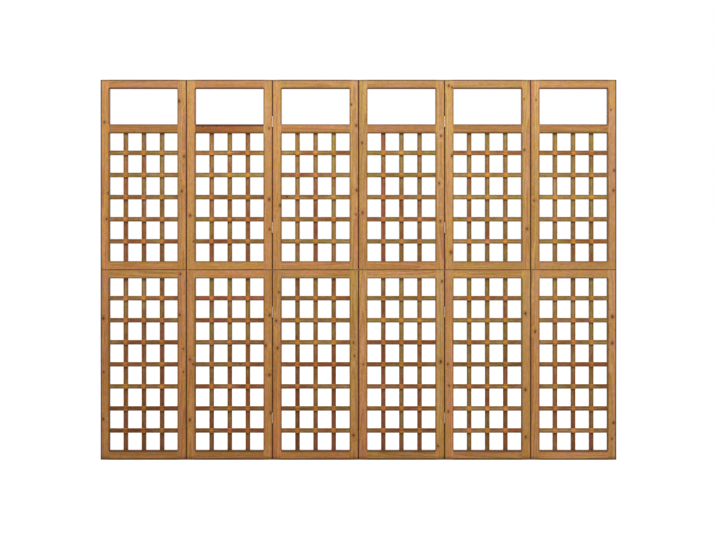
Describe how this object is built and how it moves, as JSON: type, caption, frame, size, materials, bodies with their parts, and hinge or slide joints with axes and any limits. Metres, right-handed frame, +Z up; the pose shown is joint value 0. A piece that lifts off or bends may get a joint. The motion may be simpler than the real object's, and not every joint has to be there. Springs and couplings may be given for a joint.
{
  "type": "folding trellis screen",
  "caption": "Tall wooden folding screen: a row of hinged panels with an open window above a slat trellis, standing flat and folding zigzag until the panels lie face to face.",
  "frame": {"origin": "middle of the row of panels, in the middle of their thickness, on the floor", "axes": "+X along the row of panels, -Y is the front, +Z up"},
  "size_m": [2.444, 0.0328, 1.8],
  "materials": {
    "fir_frame": "clear satin stain",
    "fir_slats": "clear satin stain",
    "hinge_steel": "zinc plated"
  },
  "bodies": {
    "panel_1": {"panel_1_upper_stiles": "fir_frame", "panel_1_upper_rails": "fir_frame", "panel_1_lower_stiles": "fir_frame", "panel_1_lower_rails": "fir_frame", "panel_1_joining_tongue": "fir_frame", "panel_1_cross_slats": "fir_slats", "panel_1_upright_slats": "fir_slats", "hinge_line_1_left_leaves": "hinge_steel", "hinge_line_1_pins": "hinge_steel"},
    "panel_2": {"panel_2_upper_stiles": "fir_frame", "panel_2_upper_rails": "fir_frame", "panel_2_lower_stiles": "fir_frame", "panel_2_lower_rails": "fir_frame", "panel_2_joining_tongue": "fir_frame", "panel_2_cross_slats": "fir_slats", "panel_2_upright_slats": "fir_slats", "hinge_line_1_right_leaves": "hinge_steel", "hinge_line_2_left_leaves": "hinge_steel", "hinge_line_2_pins": "hinge_steel"},
    "panel_3": {"panel_3_upper_stiles": "fir_frame", "panel_3_upper_rails": "fir_frame", "panel_3_lower_stiles": "fir_frame", "panel_3_lower_rails": "fir_frame", "panel_3_joining_tongue": "fir_frame", "panel_3_cross_slats": "fir_slats", "panel_3_upright_slats": "fir_slats", "hinge_line_2_right_leaves": "hinge_steel", "hinge_line_3_left_leaves": "hinge_steel", "hinge_line_3_pins": "hinge_steel"},
    "panel_4": {"panel_4_upper_stiles": "fir_frame", "panel_4_upper_rails": "fir_frame", "panel_4_lower_stiles": "fir_frame", "panel_4_lower_rails": "fir_frame", "panel_4_joining_tongue": "fir_frame", "panel_4_cross_slats": "fir_slats", "panel_4_upright_slats": "fir_slats", "hinge_line_3_right_leaves": "hinge_steel", "hinge_line_4_left_leaves": "hinge_steel", "hinge_line_4_pins": "hinge_steel"},
    "panel_5": {"panel_5_upper_stiles": "fir_frame", "panel_5_upper_rails": "fir_frame", "panel_5_lower_stiles": "fir_frame", "panel_5_lower_rails": "fir_frame", "panel_5_joining_tongue": "fir_frame", "panel_5_cross_slats": "fir_slats", "panel_5_upright_slats": "fir_slats", "hinge_line_4_right_leaves": "hinge_steel", "hinge_line_5_left_leaves": "hinge_steel", "hinge_line_5_pins": "hinge_steel"},
    "panel_6": {"panel_6_upper_stiles": "fir_frame", "panel_6_upper_rails": "fir_frame", "panel_6_lower_stiles": "fir_frame", "panel_6_lower_rails": "fir_frame", "panel_6_joining_tongue": "fir_frame", "panel_6_cross_slats": "fir_slats", "panel_6_upright_slats": "fir_slats", "hinge_line_5_right_leaves": "hinge_steel"}
  },
  "joints": [
    {"name": "hinge_1", "type": "hinge", "parent": "panel_1", "child": "panel_2", "pos_m": [-0.8148, 0.0134, 0.9], "axis": [0, 0, 1], "range_deg": [0, 179]},
    {"name": "hinge_2", "type": "hinge", "parent": "panel_2", "child": "panel_3", "pos_m": [-0.4074, -0.0134, 0.9], "axis": [0, 0, -1], "range_deg": [0, 179]},
    {"name": "hinge_3", "type": "hinge", "parent": "panel_3", "child": "panel_4", "pos_m": [0, 0.0134, 0.9], "axis": [0, 0, 1], "range_deg": [0, 179]},
    {"name": "hinge_4", "type": "hinge", "parent": "panel_4", "child": "panel_5", "pos_m": [0.4074, -0.0134, 0.9], "axis": [0, 0, -1], "range_deg": [0, 179]},
    {"name": "hinge_5", "type": "hinge", "parent": "panel_5", "child": "panel_6", "pos_m": [0.8148, 0.0134, 0.9], "axis": [0, 0, 1], "range_deg": [0, 179]}
  ]
}
